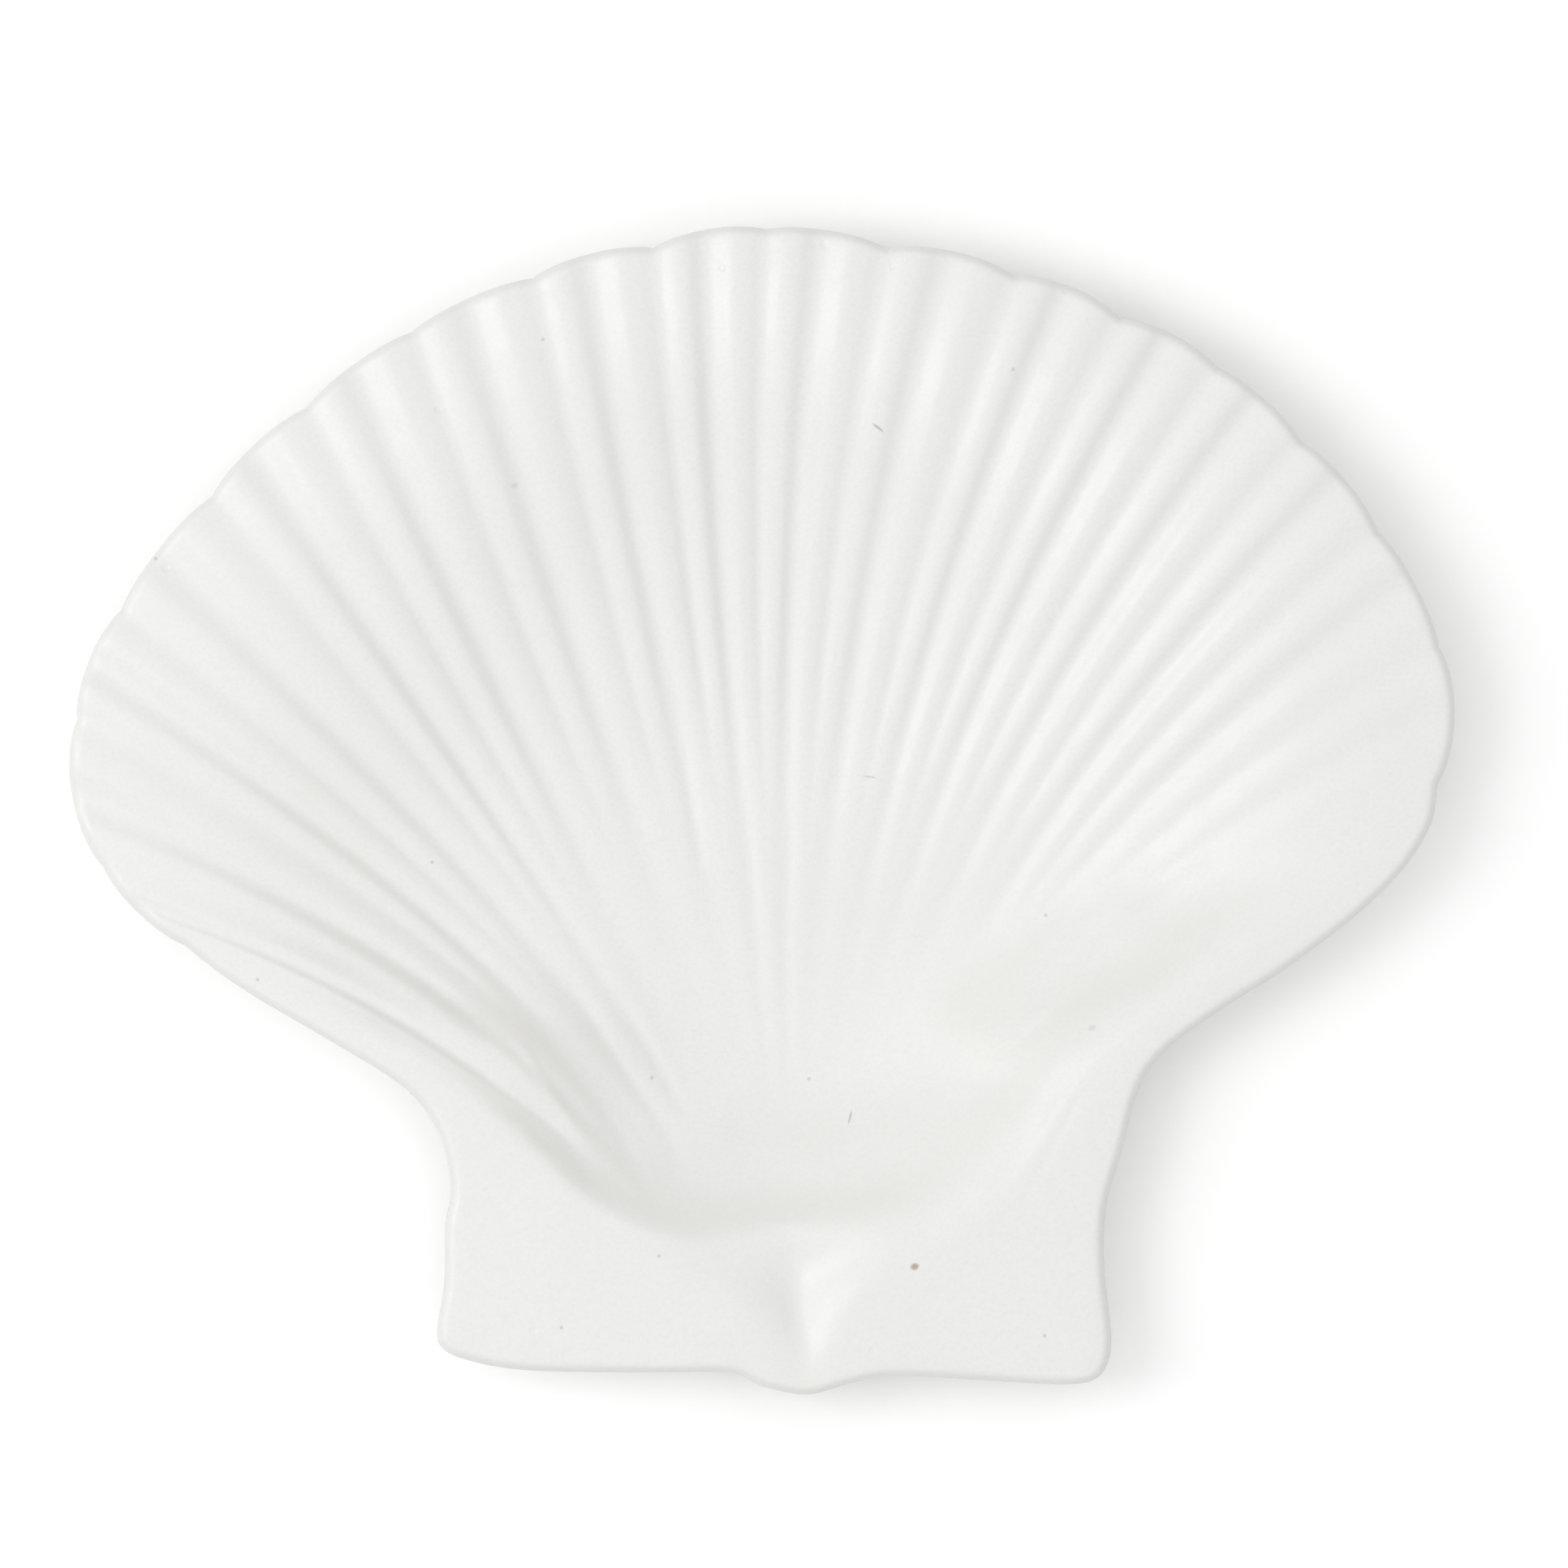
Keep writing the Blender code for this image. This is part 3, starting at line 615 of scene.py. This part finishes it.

# Ripples in the glaze: (noise scale, detail)
RIPPLE = (120.0, 2.0)
FINE_RIPPLE = (700.0, 2.0)
FINE_RIPPLE_SHARE = 0.25
BUMP_STRENGTH = 0.25
BUMP_DISTANCE = 0.0004

# Colours of the marks: a pink smudge, dark lint and specks, grey lint and faint smudges.
PINK = (0.40, 0.22, 0.20, 1.0)
DARK = (0.30, 0.27, 0.24, 1.0)
GREY = (0.45, 0.43, 0.39, 1.0)
# Marks in the glaze: (point of the photograph, length, width, degrees anticlockwise, colour, strength).
MARKS = [
    ((1127, 1561), 0.0020, 0.0016, 20, PINK, 0.75),
    ((1082, 526), 0.0032, 0.0006, -38, DARK, 0.55),
    ((1073, 957), 0.0030, 0.0005, -8, GREY, 0.45),
    ((1048, 1380), 0.0032, 0.0005, 75, DARK, 0.5),
    ((634, 597), 0.0018, 0.0013, 30, GREY, 0.25),
    ((1346, 1267), 0.0018, 0.0013, 30, GREY, 0.25),
]
# Round specks and small pits, as points of the photograph
SPECKS = [
    (997, 1333), (802, 1331), (812, 1548), (669, 418), (1248, 455), (530, 1063), (318, 1207), (1291, 1129),
    (192, 688), (1287, 1646), (692, 1636),
]
SPECK_SIZE = 0.0009
SPECK_STRENGTH = 0.35
PITS = [(540, 505), (890, 330), (1100, 328), (1015, 300), (205, 700), (657, 1640), (1075, 1664)]
PIT_SIZE = 0.0016


class Nodes:
    """Short names for building a node tree."""

    def __init__(self, material):
        material.use_nodes = True
        self.tree = material.node_tree
        self.shader = self.tree.nodes["Principled BSDF"]
        self.place = self.tree.nodes.new("ShaderNodeTexCoord").outputs["Object"]

    def link(self, source, socket):
        self.tree.links.new(source, socket)

    def put(self, value, socket):
        """Links an output to the socket, or sets a plain value on it."""
        if isinstance(value, bpy.types.NodeSocket):
            self.link(value, socket)
        else:
            socket.default_value = value

    def math(self, operation, first, second=0.0, clamp=False):
        node = self.tree.nodes.new("ShaderNodeMath")
        node.operation = operation
        node.use_clamp = clamp
        self.put(first, node.inputs[0])
        self.put(second, node.inputs[1])
        return node.outputs[0]

    def smooth(self, value, start, end, low=0.0, high=1.0):
        """A soft step from low to high while the value goes from start to end."""
        node = self.tree.nodes.new("ShaderNodeMapRange")
        node.interpolation_type = "SMOOTHSTEP"
        names = ("Value", "From Min", "From Max", "To Min", "To Max")
        for name, given in zip(names, (value, start, end, low, high)):
            self.put(given, node.inputs[name])
        return node.outputs[0]

    def noise(self, scale, detail):
        node = self.tree.nodes.new("ShaderNodeTexNoise")
        self.link(self.place, node.inputs["Vector"])
        node.inputs["Scale"].default_value = scale
        node.inputs["Detail"].default_value = detail
        return node.outputs["Fac"]

    def pattern(self, scale, detail, start, end, low, high):
        """Patches of noise that go softly from low to high."""
        return self.smooth(self.noise(scale, detail), start, end, low, high)

    def mix(self, share, first, second):
        """A colour between two others."""
        node = self.tree.nodes.new("ShaderNodeMix")
        node.data_type = "RGBA"
        for name, given in (("Factor", share), ("A", first), ("B", second)):
            socket = [s for s in node.inputs if s.name == name and s.enabled][0]
            self.put(given, socket)
        return [s for s in node.outputs if s.enabled][0]

    def spot(self, middle, length, width, degrees):
        """1 in the middle of an oval mark, 0 outside it."""
        node = self.tree.nodes.new("ShaderNodeMapping")
        node.vector_type = "TEXTURE"
        self.link(self.place, node.inputs["Vector"])
        node.inputs["Location"].default_value = (*photo(*middle), 0.0)
        node.inputs["Rotation"].default_value = (0.0, 0.0, math.radians(degrees))
        node.inputs["Scale"].default_value = (0.5 * length, 0.5 * width, 1.0)
        far = self.tree.nodes.new("ShaderNodeVectorMath")
        far.operation = "LENGTH"
        self.link(node.outputs[0], far.inputs[0])
        return self.smooth(far.outputs["Value"], *SPOT_EDGE)

    def height_of(self, source):
        """The vertical part of a place or a direction."""
        node = self.tree.nodes.new("ShaderNodeSeparateXYZ")
        self.link(source, node.inputs[0])
        return node.outputs["Z"]


def marked(nodes, colour, above):
    """The colour with its marks and specks, on surfaces that face up."""
    marks = MARKS + [(middle, SPECK_SIZE, SPECK_SIZE, 0, DARK, SPECK_STRENGTH) for middle in SPECKS]
    for middle, length, width, degrees, tone, strength in marks:
        share = nodes.math("MULTIPLY", nodes.spot(middle, length, width, degrees), strength)
        colour = nodes.mix(nodes.math("MULTIPLY", share, above), colour, tone)
    return colour


def glaze_bump(nodes):
    """Slight ripples in the glaze, with small pits."""
    bump = nodes.tree.nodes.new("ShaderNodeBump")
    bump.inputs["Strength"].default_value = BUMP_STRENGTH
    bump.inputs["Distance"].default_value = BUMP_DISTANCE
    fine = nodes.math("MULTIPLY", nodes.noise(*FINE_RIPPLE), FINE_RIPPLE_SHARE)
    height = nodes.math("ADD", nodes.noise(*RIPPLE), fine)
    for middle in PITS:
        height = nodes.math("SUBTRACT", height, nodes.spot(middle, PIT_SIZE, PIT_SIZE, 0))
    nodes.link(height, bump.inputs["Height"])
    return bump.outputs["Normal"]


def glaze_material():
    """White glaze, pooled in clouds, darker and warmer on steep walls (partly pooled glaze, partly painted
    shade), thin along the rim, with bare clay under the foot.
    """
    material = bpy.data.materials.new("white_glaze")
    nodes = Nodes(material)
    shader = nodes.shader
    z = nodes.height_of(nodes.place)
    upright = nodes.height_of(nodes.tree.nodes.new("ShaderNodeNewGeometry").outputs["Normal"])
    colour = nodes.mix(nodes.pattern(*CLOUDS), GLAZE, POOLED_GLAZE_AND_SHADE)
    # Steep walls take the darker, warmer glaze: partly pooled glaze, partly painted shade
    colour = nodes.mix(nodes.smooth(upright, *STEEP, 0.0, STEEP_POOLING_AND_SHADE), colour, POOLED_GLAZE_AND_SHADE)
    colour = nodes.mix(nodes.pattern(*FINE_GRAIN), colour, GRAIN)
    colour = marked(nodes, colour, nodes.smooth(upright, *FACING_UP))
    on_edge = nodes.smooth(nodes.math("ABSOLUTE", upright), *ON_EDGE)
    on_rim = nodes.math("MULTIPLY", nodes.smooth(z, *RIM_BAND), on_edge)
    thin = nodes.math("MULTIPLY", on_rim, nodes.pattern(*THIN_PATCHES))
    colour = nodes.mix(thin, colour, THIN_GLAZE)
    bare = nodes.smooth(z, *BARE_BAND)
    colour = nodes.mix(bare, colour, BARE_CLAY)
    nodes.link(colour, shader.inputs["Base Color"])
    rough = nodes.math("MAXIMUM", nodes.pattern(*SHEEN), nodes.smooth(bare, 0.0, 1.0, *BARE_ROUGHNESS))
    nodes.link(rough, shader.inputs["Roughness"])
    shader.inputs["IOR"].default_value = GLAZE_IOR
    nodes.link(glaze_bump(nodes), shader.inputs["Normal"])
    return material


# Stage

FLOOR_REACH = 6.0  # from the middle of the floor to each side
SHADOW_LIFT = 0.10  # how much of the floor's white doesn't depend on the light


def floor_material():
    """White floor: the camera sees it a little lighter than it is, so that it ends in pure white."""
    material = bpy.data.materials.new("white_floor")
    nodes = Nodes(material)
    nodes.shader.inputs["Base Color"].default_value = WHITE
    nodes.shader.inputs["Roughness"].default_value = 1.0
    nodes.shader.inputs["Specular IOR Level"].default_value = 0.0
    nodes.shader.inputs["Emission Color"].default_value = WHITE
    seen = nodes.tree.nodes.new("ShaderNodeLightPath").outputs
    rays = nodes.math("ADD", seen["Is Camera Ray"], seen["Is Glossy Ray"], clamp=True)
    nodes.link(nodes.math("MULTIPLY", rays, SHADOW_LIFT), nodes.shader.inputs["Emission Strength"])
    return material


def build_floor():
    """One flat square under the platter."""
    signs = [(-1, -1), (1, -1), (1, 1), (-1, 1)]
    points = [(x * FLOOR_REACH, y * FLOOR_REACH, 0) for x, y in signs]
    floor = new_object("floor", points, [(0, 1, 2, 3)], floor_material())


CAMERA_DISTANCE = 1.6
FILM_WIDTH = 0.036
RIM_LEVEL = HEIGHT - 0.002  # the photograph's scale is measured at this height
NEAREST_SEEN = 0.05
MILLIMETRES = 1000  # in a metre


def build_camera():
    """A long lens straight above the middle of the photograph."""
    data = bpy.data.cameras.new("camera")
    camera = bpy.data.objects.new("camera", data)
    bpy.context.scene.collection.objects.link(camera)
    middle = photo(PHOTO_SIDE / 2, PHOTO_SIDE / 2)
    camera.location = (*middle, RIM_LEVEL + CAMERA_DISTANCE)
    data.sensor_width = FILM_WIDTH * MILLIMETRES
    data.lens = MILLIMETRES * FILM_WIDTH * CAMERA_DISTANCE / (WIDTH * PHOTO_SIDE / PHOTO_SPAN[0])
    data.clip_start = NEAREST_SEEN
    bpy.context.scene.camera = camera


# (name, place, aim, width and height, watts)
LAMPS = [
    ("wide_top", (-0.05, 0.0, 1.6), (0.0, 0.0, 0.0), (2.2, 2.2), 12.0),
    ("key_left", (-0.80, 0.08, 1.25), (0.0, 0.0, 0.0), (0.5, 0.8), 3.9),
    ("low_left", (-1.5, 0.2, 0.7), (0.0, 0.0, 0.0), (0.8, 0.5), 2.5),
]
AMBIENT = 0.515


def build_lights():
    """Soft light from above, a lean of light from the left, and plain white light all round."""
    for name, place, aim, size, watts in LAMPS:
        data = bpy.data.lights.new(name, "AREA")
        data.shape = "RECTANGLE"
        data.size, data.size_y = size
        data.energy = watts
        lamp = bpy.data.objects.new(name, data)
        bpy.context.scene.collection.objects.link(lamp)
        lamp.location = place
        lamp.rotation_euler = (Vector(aim) - Vector(place)).to_track_quat("-Z", "Y").to_euler()
    world = bpy.data.worlds.new("soft_light")
    world.use_nodes = True
    background = world.node_tree.nodes["Background"]
    background.inputs["Color"].default_value = WHITE
    background.inputs["Strength"].default_value = AMBIENT
    bpy.context.scene.world = world


# The outline's own corners and the bowl edge are worked out once, before any shape.
outline = rim_shares(fine_stations())
RIM_CORNERS = outline.min(axis=0), outline.max(axis=0)
EDGE_KEYS = edge_keys()


def main():
    bpy.context.scene.view_settings.view_transform = "Standard"
    glaze = glaze_material()
    for piece in (shell_object(glaze), foot_object(glaze)):
        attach(piece, "root")
        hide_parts("shell_platter")
    build_floor()
    build_camera()
    build_lights()


main()
